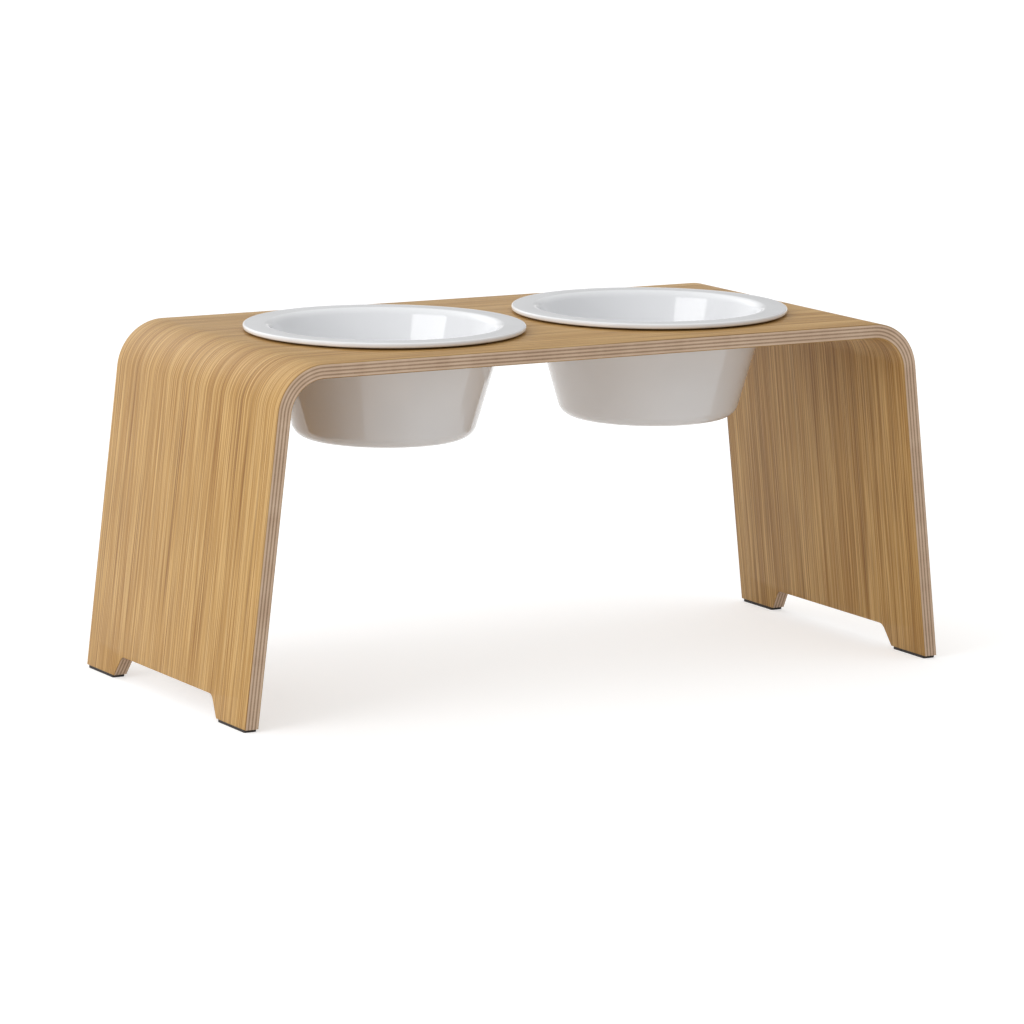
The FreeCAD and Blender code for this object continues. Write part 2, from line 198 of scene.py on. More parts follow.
class ShapeTree(Graph):
    """A Geometry Nodes tree under construction, with one geometry output."""

    def __init__(self, name: str, takes_geometry: bool = False) -> None:
        """Start a tree.

        Args:
            name: The tree's name.
            takes_geometry: Whether it works on its object's own geometry.
        """
        super().__init__(bpy.data.node_groups.new(name, "GeometryNodeTree"))
        self.tree.is_modifier = True
        sockets = self.tree.interface
        if takes_geometry:
            sockets.new_socket("Geometry", in_out="INPUT", socket_type="NodeSocketGeometry")
        sockets.new_socket("Geometry", in_out="OUTPUT", socket_type="NodeSocketGeometry")
        self.source = self.tree.nodes.new("NodeGroupInput")
        self.result = self.tree.nodes.new("NodeGroupOutput")

    def size(self, name: str, kind: str = "NodeSocketFloat") -> Socket:
        """Add a named input and give its socket inside the tree."""
        self.tree.interface.new_socket(name, in_out="INPUT", socket_type=kind)
        return self.source.outputs[name]

    def sizes(self, *names: str) -> list[Socket]:
        """Add several named lengths or angles and give their sockets in order."""
        return [self.size(name) for name in names]

    def moved(self, shape: Socket, shift: Value, turn: Value = (0, 0, 0)) -> Socket:
        """Turn a shape about the origin by its Euler angles and then shift it."""
        inputs = {"Geometry": shape, "Translation": shift, "Rotation": turn}
        return self.add("GeometryNodeTransform", inputs).outputs[0]

    def joined(self, *shapes: Socket) -> Socket:
        """Join shapes into one geometry."""
        node = self.add("GeometryNodeJoinGeometry")
        for shape in shapes:
            self.tree.links.new(shape, node.inputs[0])
        return node.outputs[0]

    def noted(self, shape: Socket, name: str, value: Value, kind: str, domain: str) -> Socket:
        """Store a named attribute on a shape, of the given data type and on the given domain."""
        inputs = {"Geometry": shape, "Name": name, "Value": value}
        return self.add("GeometryNodeStoreNamedAttribute", inputs, data_type=kind, domain=domain).outputs[0]

    def place(self) -> tuple[Socket, ...]:
        """Give the three parts of a point's own place."""
        return self.split(self.add("GeometryNodeInputPosition").outputs[0])

    def put(self, shape: Socket, place: Socket) -> Socket:
        """Put every point of a shape at a new place."""
        return self.add("GeometryNodeSetPosition", {"Geometry": shape, "Position": place}).outputs[0]

    def welded(self, shape: Socket) -> Socket:
        """Merge the points of a shape that lie on each other."""
        return self.add("GeometryNodeMergeByDistance", {"Geometry": shape, "Distance": WELD}).outputs[0]

    def corners(self) -> Socket:
        """Give 1 for an edge whose faces meet at a corner, and 0 for any other."""
        crease = self.add("GeometryNodeInputMeshEdgeAngle").outputs["Unsigned Angle"]
        return self.math("GREATER_THAN", crease, CORNER_ANGLE)

    def rounded(self, curve: Socket, steps: Value, radius: Value) -> Socket:
        """Round the corners of a curve, each in so many steps."""
        inputs = {"Curve": curve, "Count": steps, "Radius": radius}
        return self.add("GeometryNodeFilletCurve", inputs, mode="POLY").outputs[0]

    def prism(self, outline: Socket, height: Value) -> Socket:
        """Raise a flat closed curve to a closed prism on the sheet's plane.

        Args:
            outline: The curve.
            height: The prism's height.

        Returns:
            The prism as a closed mesh.
        """
        base = self.add("GeometryNodeFillCurve", {"Curve": outline}, mode="NGONS").outputs[0]
        raised = self.add(
            "GeometryNodeExtrudeMesh",
            {"Mesh": base, "Offset": (0, 0, 1), "Offset Scale": height, "Individual": False},
            mode="FACES",
        ).outputs[0]
        under = self.add("GeometryNodeFlipFaces", {"Mesh": base}).outputs[0]
        return self.welded(self.joined(raised, under))

    def close(self, shape: Socket, material: Socket) -> None:
        """End the tree: realise the shape, give it its material and put it out.

        Args:
            shape: The finished geometry.
            material: The material input.
        """
        real = self.add("GeometryNodeRealizeInstances", {"Geometry": shape}).outputs[0]
        dressed = self.add("GeometryNodeSetMaterial", {"Geometry": real, "Material": material}).outputs[0]
        self.tree.links.new(dressed, self.result.inputs[0])


def settle(
    maker: bpy.types.Object,
    tree: ShapeTree,
    sizes: Mapping[str, Value],
    bevel: float = 0.0,
    sharp: float = 32.0,
) -> bpy.types.Object:
    """Run a shape tree on an object and keep the result as the object's plain mesh.

    Args:
        maker: The object that carries the modifier.
        tree: The shape tree.
        sizes: Values of its named inputs.
        bevel: Width of the softened edges, which carry a bevel weight.
        sharp: Angle in degrees above which an edge stays crisp.

    Returns:
        The same object, with no modifier left.
    """
    bpy.context.scene.collection.objects.link(maker)
    modifier = maker.modifiers.new("shape", "NODES")
    modifier.node_group = tree.tree
    for item in tree.tree.interface.items_tree:
        if item.in_out == "INPUT" and item.name in sizes:
            modifier[item.identifier] = sizes[item.name]
    if bevel:
        softener = maker.modifiers.new("arris", "BEVEL")
        softener.limit_method = "WEIGHT"
        softener.width = bevel
        softener.segments = ARRIS_STEPS
    graph = bpy.context.evaluated_depsgraph_get()
    solid = bpy.data.meshes.new_from_object(
        maker.evaluated_get(graph), preserve_all_data_layers=True, depsgraph=graph
    )
    maker.modifiers.clear()
    maker.data = solid
    solid.name = maker.name
    shell = bmesh.new()
    shell.from_mesh(solid)
    bmesh.ops.remove_doubles(shell, verts=shell.verts, dist=WELD)
    bmesh.ops.recalc_face_normals(shell, faces=shell.faces)
    shell.to_mesh(solid)
    shell.free()
    solid.shade_smooth()
    solid.set_sharp_from_angle(angle=math.radians(sharp))
    return maker


def enlist(piece: bpy.types.Object, body: Body, node: str) -> None:
    """Tie a finished piece to the frame and report it.

    Args:
        piece: The piece.
        body: The body that it rides on.
        node: The CAD node that it stands for.
    """
    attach(piece, body.value)
    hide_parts(node)
    log.info("%s: %d faces, rides on %s", piece.name, len(piece.data.polygons), body.value)


class ShaderGroup(Graph):
    """A shader node group under construction, used by more than one material."""

    def __init__(self, name: str) -> None:
        """Start a group with the given name."""
        super().__init__(bpy.data.node_groups.new(name, "ShaderNodeTree"))
        self.source = self.tree.nodes.new("NodeGroupInput")
        self.result = self.tree.nodes.new("NodeGroupOutput")

    def takes(self, name: str, kind: str = "NodeSocketFloat", default: Value = 0.0) -> Socket:
        """Add a named input.

        Args:
            name: The input's name.
            kind: Its socket type.
            default: Its default value.

        Returns:
            The socket inside the group.
        """
        socket = self.tree.interface.new_socket(name, in_out="INPUT", socket_type=kind)
        socket.default_value = default
        return self.source.outputs[name]

    def gives(self, name: str, value: Socket) -> None:
        """Add a named output and put a value out by it."""
        self.tree.interface.new_socket(name, in_out="OUTPUT", socket_type="NodeSocketFloat")
        self.tree.links.new(value, self.result.inputs[name])

    def noise(self, vector: Socket, detail: float, roughness: float = 0.5) -> Socket:
        """Add a noise of unit scale around a half, with so many octaves of so much strength."""
        inputs = {"Vector": vector, "Scale": 1.0, "Detail": detail, "Roughness": roughness}
        return self.add("ShaderNodeTexNoise", inputs).outputs[0]


@dataclass(frozen=True)
class Streak:
    """A noise drawn out along the grain: its pitch along and across, its layer and its octaves."""

    along: float
    across: float
    layer: float
    detail: float
    roughness: float


@dataclass(frozen=True)
class StraightGrain:
    """Straight wood grain along a sheet, of noises stretched to the length and spacing of its lines."""

    layer_pitch: float = 900.0
    drift_along: float = 2.2
    drift_across: float = 7.0
    strands: float = 1.6
    strand_jump: float = 17.31
    fibre_run: float = 1.5
    fibre_detail: float = 1.5
    fibre_roughness: float = 0.55
    bands: Streak = Streak(0.15, 0.07, 3.0, 2.0, 0.5)
    flocks: Streak = Streak(0.35, 0.22, 7.0, 1.0, 0.5)
    lines: Streak = Streak(0.8, 1.35, 11.0, 2.0, 0.6)
    hairs: Streak = Streak(2.0, 2.4, 23.0, 2.0, 0.6)
    pores: Streak = Streak(3.2, 1.9, 37.0, 1.5, 0.6)
    line_range: tuple[float, float] = (0.53, 0.63)
    flock_range: tuple[float, float] = (0.36, 0.58)
    flock_least: float = 0.3
    pore_range: tuple[float, float] = (0.54, 0.68)

    def group(self) -> ShaderGroup:
        """Make the shader group.

        Returns:
            The group, with broad bands, dark lines, single fibres, fine hairs and short pores as outputs.
        """
        group = ShaderGroup("Straight grain")
        sheet = group.takes("Sheet", "NodeSocketVector", (0, 0, 0))
        spacing = group.takes("Line Spacing", default=0.004)
        length = group.takes("Line Length", default=0.4)
        wander = group.takes("Wander", default=0.004)
        seed = group.takes("Seed")
        along, across, depth = group.split(sheet)
        layer = group.scaled(depth, self.layer_pitch, seed)
        drift_along = group.times(along, self.drift_along)
        drift_across = group.times(across, self.drift_across)
        drift = group.minus(group.noise(group.vector(drift_along, drift_across, layer), 1.0), 0.5)
        place = group.plus(across, group.times(drift, wander))
        run = group.over(along, length)
        step = group.over(place, spacing)

        def drawn(streak: Streak) -> Socket:
            """Add a noise drawn out along the grain."""
            where = group.vector(
                group.times(run, streak.along),
                group.times(step, streak.across),
                group.plus(layer, streak.layer),
            )
            return group.noise(where, streak.detail, streak.roughness)

        strand = group.math("FLOOR", group.times(step, self.strands))
        fibre = group.vector(group.times(run, self.fibre_run), group.times(strand, self.strand_jump), layer)
        lines = group.remap(drawn(self.lines), *self.line_range)
        flocks = group.remap(drawn(self.flocks), *self.flock_range, self.flock_least)
        group.gives("Bands", drawn(self.bands))
        group.gives("Lines", group.times(lines, flocks))
        group.gives("Fibres", group.noise(fibre, self.fibre_detail, self.fibre_roughness))
        group.gives("Hairs", drawn(self.hairs))
        group.gives("Pores", group.remap(drawn(self.pores), *self.pore_range))
        return group


@dataclass(frozen=True)
class EndGrain:
    """The cut ends of wood fibres, with a glue line at both faces of a ply."""

    octaves: float = 2.0
    speckle_roughness: float = 0.6
    patch_pitch: float = 60.0
    patch_layer: float = 5.0

    def group(self) -> ShaderGroup:
        """Make the shader group.

        Returns:
            The group, with speckle, patches and the glue line as outputs.
        """
        group = ShaderGroup("End grain")
        sheet = group.takes("Sheet", "NodeSocketVector", (0, 0, 0))
        through = group.takes("Through")
        fibre = group.takes("Fibre Size", default=0.0005)
        glue = group.takes("Glue Share", default=0.06)
        along, across, depth = group.split(sheet)
        cells = group.vector(group.over(along, fibre), group.over(across, fibre), group.over(depth, fibre))
        patch_along = group.times(along, self.patch_pitch)
        patch_across = group.times(across, self.patch_pitch)
        patch = group.vector(patch_along, patch_across, self.patch_layer)
        reach = group.times(group.math("ABSOLUTE", group.minus(through, 0.5)), 2.0)
        line = group.over(group.minus(reach, group.minus(1.0, glue)), glue, clamp=True)
        group.gives("Speckle", group.noise(cells, self.octaves, self.speckle_roughness))
        group.gives("Patches", group.noise(patch, self.octaves))
        group.gives("Glue Line", line)
        return group


@dataclass
class Shelf:
    """The shader groups that several finishes share."""

    grain: ShaderGroup = field(default_factory=StraightGrain().group)
    ends: ShaderGroup = field(default_factory=EndGrain().group)


class MaterialGraph(Graph):
    """A material under construction, with its Principled shader."""

    def __init__(self, name: str) -> None:
        """Start a material with the given name."""
        self.material = bpy.data.materials.new(name)
        self.material.use_nodes = True
        super().__init__(self.material.node_tree)
        self.shader = self.tree.nodes["Principled BSDF"]

    def group(self, shared: ShaderGroup, inputs: Mapping[str, Value]) -> bpy.types.Node:
        """Place a shared group.

        Args:
            shared: The group.
            inputs: What goes into its named inputs.

        Returns:
            The group node.
        """
        node = self.tree.nodes.new("ShaderNodeGroup")
        node.node_tree = shared.tree
        for name, value in inputs.items():
            self.feed(node.inputs[name], value)
        return node

    def noted(self, name: str) -> bpy.types.Node:
        """Read a named attribute of the mesh."""
        return self.add("ShaderNodeAttribute", attribute_name=name)

    def place(self) -> Socket:
        """Give the place on the piece."""
        return self.add("ShaderNodeTexCoord").outputs["Object"]

    def noise(self, place: Socket, pitch: float, detail: float) -> Socket:
        """Add a noise with so many humps to the metre and so many octaves."""
        return self.add("ShaderNodeTexNoise", {"Vector": place, "Scale": pitch, "Detail": detail}).outputs[0]

    def mix(self, share: Value, first: Value, second: Value) -> Socket:
        """Mix two colours by the share of the second one."""
        return self.add("ShaderNodeMix", {0: share, 6: first, 7: second}, data_type="RGBA").outputs[2]

    def ramp(self, value: Socket, stops: Sequence[tuple[float, Colour]]) -> Socket:
        """Turn a value into a colour.

        Args:
            value: The value.
            stops: Places and colours of the ramp.

        Returns:
            The colour.
        """
        node = self.add("ShaderNodeValToRGB", {0: value})
        marks = node.color_ramp.elements
        while len(marks) < len(stops):
            marks.new(0.5)
        for mark, (place, colour) in zip(marks, stops):
            mark.position = place
            mark.color = colour
        return node.outputs[0]

    def bump(self, height: Socket, distance: float, strength: float) -> None:
        """Give the shader a bump from a height map, by its depth and by how much of it shows."""
        node = self.add("ShaderNodeBump", {"Height": height, "Distance": distance, "Strength": strength})
        self.tree.links.new(node.outputs[0], self.shader.inputs["Normal"])

    def finish(self, **sockets: Value) -> bpy.types.Material:
        """Feed the shader's sockets, written with underscores for spaces, and give the material."""
        for name, value in sockets.items():
            self.feed(self.shader.inputs[name.replace("_", " ")], value)
        return self.material


@dataclass(frozen=True)
class OakFinish:
    """Rift-cut oak veneer under a clear satin lacquer."""

    name: str = "oak_veneer"
    pale: Colour = paint(208, 171, 113)
    warm: Colour = paint(185, 145, 84)
    deep: Colour = paint(153, 109, 50)
    pore: Colour = paint(107, 68, 28)
    end: Colour = paint(140, 116, 84)
    line_spacing: float = 1.3 * MM
    line_length: float = 180 * MM
    wander: float = 4.5 * MM
    seed: float = 4.0
    band_share: float = 0.24
    hair_share: float = 0.24
    fibre_share: float = 0.64
    deep_at: float = 0.44
    warm_at: float = 0.56
    pale_at: float = 0.66
    pore_share: float = 0.6
    streak_share: float = 0.66
    side_share: float = 0.6
    end_share: float = 0.75
    sheen: float = 0.38
    sheen_spread: float = 0.16
    specular: float = 0.3
    hair_relief: float = 0.5
    speckle_relief: float = 0.15
    relief_depth: float = 0.06 * MM
    relief_strength: float = 0.5

    def material(self, shelf: Shelf) -> bpy.types.Material:
        """Make the material.

        Args:
            shelf: The shared groups.

        Returns:
            The material.
        """
        graph = MaterialGraph(self.name)
        sheet = graph.noted("sheet").outputs["Vector"]
        cut_along, cut_across, _ = graph.split(graph.noted("cut").outputs["Vector"])
        grain = graph.group(shelf.grain, {
            "Sheet": sheet,
            "Line Spacing": self.line_spacing,
            "Line Length": self.line_length,
            "Wander": self.wander,
            "Seed": self.seed,
        }).outputs
        speckle = graph.group(shelf.ends, {"Sheet": sheet, "Through": 0.5}).outputs["Speckle"]
        hairs = grain["Hairs"]
        pores = grain["Pores"]
        blend = graph.scaled(grain["Bands"], self.band_share, graph.times(hairs, self.hair_share))
        blend = graph.scaled(grain["Fibres"], self.fibre_share, blend)
        stops = ((self.deep_at, self.deep), (self.warm_at, self.warm), (self.pale_at, self.pale))
        wood = graph.ramp(blend, stops)
        streaks = graph.larger(grain["Lines"], graph.times(pores, self.pore_share))
        wood = graph.mix(graph.times(streaks, self.streak_share), wood, self.pore)
        edge = graph.larger(cut_along, graph.times(cut_across, self.side_share))
        wood = graph.mix(graph.times(edge, self.end_share), wood, self.end)
        sheen = graph.scaled(hairs, self.sheen_spread, self.sheen)
        height = graph.minus(graph.times(hairs, self.hair_relief), pores)
        height = graph.scaled(speckle, self.speckle_relief, height)
        graph.bump(height, self.relief_depth, self.relief_strength)
        return graph.finish(Base_Color=wood, Roughness=sheen, Specular_IOR_Level=self.specular)


@dataclass(frozen=True)
class PlyFinish:
    """A beech ply of the core, whose cut edge shows long grain or end grain."""

    name: str
    grain: Grain
    long_pale: Colour = paint(218, 194, 170)
    long_deep: Colour = paint(198, 170, 144)
    end_pale: Colour = paint(180, 153, 129)
    end_deep: Colour = paint(151, 125, 102)
    glue: Colour = paint(124, 98, 76)
    seed: float = 9.0
    line_spacing: float = 2 * MM
    line_length: float = 150 * MM
    wander: float = 1 * MM
    fibre_size: float = 0.6 * MM
    glue_width: float = 0.07
    glue_share: float = 0.4
    end_range: tuple[float, float] = (0.55, 0.8)
    hair_share: float = 0.5
    speckle_share: float = 0.6
    long_deep_at: float = 0.32
    long_pale_at: float = 0.66
    end_deep_at: float = 0.34
    end_pale_at: float = 0.66
    sheen: float = 0.42
    sheen_spread: float = 0.2
    specular: float = 0.25
    glue_relief: float = -0.8
    relief_depth: float = 0.05 * MM
    relief_strength: float = 0.5

    def material(self, shelf: Shelf) -> bpy.types.Material:
        """Make the material.

        Args:
            shelf: The shared groups.

        Returns:
            The material.
        """
        graph = MaterialGraph(self.name)
        sheet = graph.noted("sheet").outputs["Vector"]
        through = graph.noted("through").outputs["Fac"]
        cut_along, cut_across, _ = graph.split(graph.noted("cut").outputs["Vector"])
        end_cut = graph.remap(cut_along if self.grain is Grain.ALONG else cut_across, *self.end_range)
        hairs = graph.group(shelf.grain, {
            "Sheet": sheet,
            "Line Spacing": self.line_spacing,
            "Line Length": self.line_length,
            "Wander": self.wander,
            "Seed": self.seed,
        }).outputs["Hairs"]
        ends = graph.group(shelf.ends, {
            "Sheet": sheet,
            "Through": through,
            "Fibre Size": self.fibre_size,
            "Glue Share": self.glue_width,
        }).outputs
        speckle = ends["Speckle"]
        patches = ends["Patches"]
        line = ends["Glue Line"]
        long_tone = graph.scaled(hairs, self.hair_share, graph.times(patches, 1 - self.hair_share))
        end_tone = graph.scaled(speckle, self.speckle_share, graph.times(patches, 1 - self.speckle_share))
        long_stops = ((self.long_deep_at, self.long_deep), (self.long_pale_at, self.long_pale))
        end_stops = ((self.end_deep_at, self.end_deep), (self.end_pale_at, self.end_pale))
        wood = graph.mix(end_cut, graph.ramp(long_tone, long_stops), graph.ramp(end_tone, end_stops))
        wood = graph.mix(graph.times(line, self.glue_share), wood, self.glue)
        sheen = graph.scaled(speckle, self.sheen_spread, self.sheen)
        graph.bump(graph.scaled(line, self.glue_relief, speckle), self.relief_depth, self.relief_strength)
        return graph.finish(Base_Color=wood, Roughness=sheen, Specular_IOR_Level=self.specular)


@dataclass(frozen=True)
class PorcelainFinish:
    """White porcelain under a clear gloss glaze, bare on the ring that it stood on in the kiln."""

    name: str = "porcelain"
    glaze: Colour = paint(236, 237, 239)
    shade: Colour = paint(232, 233, 235)
    bare: Colour = paint(226, 220, 208)
    ring_top: float = 0.1746
    ring_fade: float = 0.3 * MM
    cloud_pitch: float = 18.0
    cloud_range: tuple[float, float] = (0.35, 0.65)
    peel_pitch: float = 140.0
    peel_relief: float = 0.35
    grit_pitch: float = 2600.0
    grit_relief: float = 0.4
    sheen: float = 0.05
    sheen_spread: float = 0.05
    bare_sheen: float = 0.5
    relief_depth: float = 0.06 * MM
    relief_strength: float = 0.35
    refraction: float = 1.5

    def material(self) -> bpy.types.Material:
        """Make the material.

        Returns:
            The material.
        """
        graph = MaterialGraph(self.name)
        place = graph.place()
        height = graph.split(place)[2]
        cloud = graph.noise(place, self.cloud_pitch, 2.0)
        peel = graph.noise(place, self.peel_pitch, 1.0)
        grit = graph.noise(place, self.grit_pitch, 2.0)
        bare = graph.remap(height, self.ring_top, self.ring_top - self.ring_fade)
        white = graph.mix(graph.remap(cloud, *self.cloud_range), self.shade, self.glaze)
        white = graph.mix(bare, white, self.bare)
        sheen = graph.scaled(cloud, self.sheen_spread, self.sheen)
        sheen = graph.scaled(bare, self.bare_sheen, sheen)
        relief = graph.times(peel, self.peel_relief)
        relief = graph.scaled(graph.times(grit, bare), self.grit_relief, relief)
        graph.bump(relief, self.relief_depth, self.relief_strength)
        return graph.finish(Base_Color=white, Roughness=sheen, IOR=self.refraction)


@dataclass(frozen=True)
class RubberFinish:
    """Thin dark anti-slip rubber with a fine tooth."""

    name: str = "pad_rubber"
    dark: Colour = paint(40, 35, 32)
    worn: Colour = paint(62, 55, 50)
    tooth_pitch: float = 2200.0
    smear_pitch: float = 120.0
    octaves: float = 2.0
    worn_range: tuple[float, float] = (0.4, 0.75)
    sheen: float = 0.65
    sheen_spread: float = 0.2
    relief_depth: float = 0.12 * MM
    relief_strength: float = 0.7

    def material(self) -> bpy.types.Material:
        """Make the material.

        Returns:
            The material.
        """
        graph = MaterialGraph(self.name)
        place = graph.place()
        tooth = graph.noise(place, self.tooth_pitch, self.octaves)
        smear = graph.noise(place, self.smear_pitch, self.octaves)
        rubber = graph.mix(graph.remap(smear, *self.worn_range), self.dark, self.worn)
        graph.bump(tooth, self.relief_depth, self.relief_strength)
        sheen = graph.scaled(smear, self.sheen_spread, self.sheen)
        return graph.finish(Base_Color=rubber, Roughness=sheen)


@dataclass
class Ply:
    """One layer of the bent board, by its depths below the board's outer face."""

    name: str
    node: str
    slot: Slot
    outer: float
    inner: float
    arris: float = 0.0


@dataclass
class BentBoard:
    """The table: a stack of plies cut flat, glued and bent round a mould into a top and two legs."""

    shelf: Shelf
    half_depth: float = 125 * MM
    bend_start: float = 222 * MM
    bend_height: float = 213 * MM
    bend_radius: float = 36 * MM
    lean: float = math.radians(6.5)
    foot_height: float = 2 * MM
    hole_offset: float = 109 * MM
    hole_radius: float = 86 * MM
    notch_half_width: float = 81 * MM
    notch_flare: float = 10 * MM
    notch_height: float = 15 * MM
    notch_radius: float = 7 * MM
    veneer: float = 0.6 * MM
    long_ply: float = 1.45 * MM
    cross_ply: float = 1.1 * MM
    core_plies: int = 7
    arris: float = 0.45 * MM
    side_slack: float = 0.1 * MM
    columns: int = 160
    bend_from: float = 0.25
    leg_from: float = 0.75
    hole_sides: int = 192
    notch_steps: int = 12
    overshoot: float = 6 * MM
    cutter_reach: float = 60 * MM

    def plies(self) -> list[Ply]:
        """Give the layers of the board from its outer face to its inner one."""
        depth = self.veneer
        layers = [Ply("oak_face_outer", "outer_oak_veneer", Slot.OAK_VENEER, 0.0, depth, self.arris)]
        for number in range(1, self.core_plies + 1):
            is_long = number % 2 == 1
            below = depth + (self.long_ply if is_long else self.cross_ply)
            slot = Slot.PALE_PLY if is_long else Slot.DARK_PLY
            layers.append(Ply(f"beech_ply_{number}", f"core_ply_{number}", slot, depth, below))
            depth = below
        bottom = depth + self.veneer
        layers.append(Ply("oak_face_inner", "inner_oak_veneer", Slot.OAK_VENEER, depth, bottom, self.arris))
        return layers

    def tree(self) -> ShapeTree:
        """Make the tree that lays out a ply flat, cuts it and bends it.

        Returns:
            The shape tree.
        """
        tree = ShapeTree("Bent ply")
        half_depth, foot_height = tree.sizes("Half Depth", "Foot Height")
        bend_start, bend_height = tree.sizes("Bend Start", "Bend Height")
        bend_radius, bend_turn = tree.sizes("Bend Radius", "Bend Turn")
        outer, inner, soft_depth = tree.sizes("Outer Depth", "Inner Depth", "Softened Depth")
        hole_offset, hole_radius = tree.sizes("Hole Offset", "Hole Radius")
        notch = tree.sizes("Notch Half Width", "Notch Flare", "Notch Height", "Notch Radius")
        material = tree.size("Material", "NodeSocketMaterial")

        arc = tree.times(bend_radius, bend_turn)
        lean_slope = tree.math("TANGENT", tree.minus(QUARTER_TURN, bend_turn))
        lean_share = tree.math("SINE", bend_turn)
        knee = tree.scaled(bend_radius, tree.math("COSINE", bend_turn), bend_height)
        leg = tree.over(tree.minus(knee, foot_height), lean_share)
        leg_start = tree.plus(bend_start, arc)
        half_length = tree.plus(leg_start, leg)
        thickness = tree.minus(inner, outer)

        # The block runs from -1 to 1, shared out between the top, the bends and the legs.
        block = tree.add("GeometryNodeMeshCube", {
            "Size": tree.vector(2.0, tree.times(half_depth, 2.0), thickness),
            "Vertices X": self.columns + 1,
            "Vertices Y": 2,
            "Vertices Z": 2,
        }).outputs["Mesh"]
        share, across, rise = tree.place()
        reach = tree.math("ABSOLUTE", share)
        on_top = tree.times(tree.remap(reach, 0.0, self.bend_from), bend_start)
        on_bend = tree.times(tree.remap(reach, self.bend_from, self.leg_from), arc)
        on_leg = tree.times(tree.remap(reach, self.leg_from, 1.0), leg)
        length = tree.plus(on_top, tree.plus(on_bend, on_leg))
        middle = tree.times(tree.plus(outer, inner), -0.5)
        flat = tree.vector(tree.times(length, tree.math("SIGN", share)), across, tree.plus(rise, middle))
        sheet = tree.put(block, flat)

        drill = tree.add("GeometryNodeMeshCylinder", {
            "Vertices": self.hole_sides, "Radius": hole_radius, "Depth": 2 * self.cutter_reach,
        }).outputs["Mesh"]
        drills = tree.joined(
            tree.moved(drill, tree.vector(hole_offset, 0.0, 0.0)),
            tree.moved(drill, tree.vector(tree.times(hole_offset, -1.0), 0.0, 0.0)),
        )
        saw = self.notch_cutter(tree, *notch, lean_share)
        near_end = tree.vector(half_length, 0.0, -self.cutter_reach)
        far_end = tree.vector(tree.times(half_length, -1.0), 0.0, -self.cutter_reach)
        saws = tree.joined(
            tree.moved(saw, near_end, (0, 0, QUARTER_TURN)),
            tree.moved(saw, far_end, (0, 0, -QUARTER_TURN)),
        )
        shapes = {"Mesh 1": sheet, "Mesh 2": tree.joined(drills, saws)}
        cut = tree.add("GeometryNodeMeshBoolean", shapes, operation="DIFFERENCE", solver="EXACT")
        cut_sheet = cut.outputs["Mesh"]

        along, across, rise = tree.place()
        place = tree.vector(along, across, rise)
        cut_sheet = tree.noted(cut_sheet, "sheet", place, "FLOAT_VECTOR", "POINT")
        depth = tree.times(rise, -1.0)
        through = tree.over(tree.minus(depth, outer), thickness)
        cut_sheet = tree.noted(cut_sheet, "through", through, "FLOAT", "POINT")
        normal = tree.add("GeometryNodeInputNormal").outputs[0]
        facing = tree.add("ShaderNodeVectorMath", {0: normal}, operation="ABSOLUTE").outputs[0]
        cut_sheet = tree.noted(cut_sheet, "cut", facing, "FLOAT_VECTOR", "FACE")
        off_level = tree.math("ABSOLUTE", tree.minus(depth, soft_depth))
        level = tree.math("LESS_THAN", off_level, LEVEL_SLACK)
        side = tree.minus(half_depth, self.side_slack)
        at_side = tree.math("GREATER_THAN", tree.math("ABSOLUTE", across), side)
        on_legs = tree.math("GREATER_THAN", tree.math("ABSOLUTE", along), leg_start)
        weight = tree.times(tree.times(tree.corners(), level), tree.larger(at_side, on_legs))
        cut_sheet = tree.noted(cut_sheet, SOFT_EDGES, weight, "FLOAT", "EDGE")

        reach = tree.math("ABSOLUTE", along)
        level_part = tree.math("MINIMUM", reach, bend_start)
        past_start = tree.larger(tree.minus(reach, bend_start), 0.0)
        angle = tree.over(tree.math("MINIMUM", past_start, arc), bend_radius)
        leg_part = tree.over(tree.minus(reach, leg_start), leg, clamp=True)
        radius = tree.plus(bend_radius, rise)
        own_knee = tree.scaled(radius, tree.math("COSINE", bend_turn), bend_height)
        drop = tree.times(tree.minus(own_knee, foot_height), leg_part)
        out = tree.scaled(radius, tree.math("SINE", angle), level_part)
        out = tree.scaled(drop, lean_slope, out)
        up = tree.minus(tree.scaled(radius, tree.math("COSINE", angle), bend_height), drop)
        bent = tree.vector(tree.times(out, tree.math("SIGN", along)), across, up)
        tree.close(tree.put(cut_sheet, bent), material)
        return tree

    def notch_cutter(
        self,
        tree: ShapeTree,
        half_width: Socket,
        flare: Socket,
        height: Socket,
        radius: Socket,
        lean_share: Socket,
    ) -> Socket:
        """Make the prism that cuts the notch between the feet of a leg.

        Args:
            tree: The tree that it belongs to.
            half_width: Half the notch's width at the feet.
            flare: How much narrower it is on each side at its top.
            height: Its height above the feet.
            radius: Radius of its two upper corners.
            lean_share: Height gained for each length along the leg.

        Returns:
            The prism, with the feet on its X axis and the notch's height along Y.
        """
        slope = tree.over(flare, height)
        low = tree.scaled(slope, self.overshoot, half_width)
        high = tree.minus(half_width, flare)
        full = tree.plus(height, self.overshoot)
        outline = tree.add("GeometryNodeCurvePrimitiveQuadrilateral", {
            "Bottom Width": tree.times(low, 2.0),
            "Top Width": tree.times(high, 2.0),
            "Height": full,
            "Offset": 0.0,
        }, mode="TRAPEZOID").outputs[0]
        is_upper = tree.math("GREATER_THAN", tree.place()[1], 0.0)
        rounded = tree.rounded(outline, self.notch_steps, tree.times(is_upper, radius))
        lift = tree.minus(tree.times(full, 0.5), self.overshoot)
        x, y, _ = tree.place()
        outline = tree.put(rounded, tree.vector(x, tree.over(tree.plus(y, lift), lean_share), 0.0))
        return tree.prism(outline, 2 * self.cutter_reach)

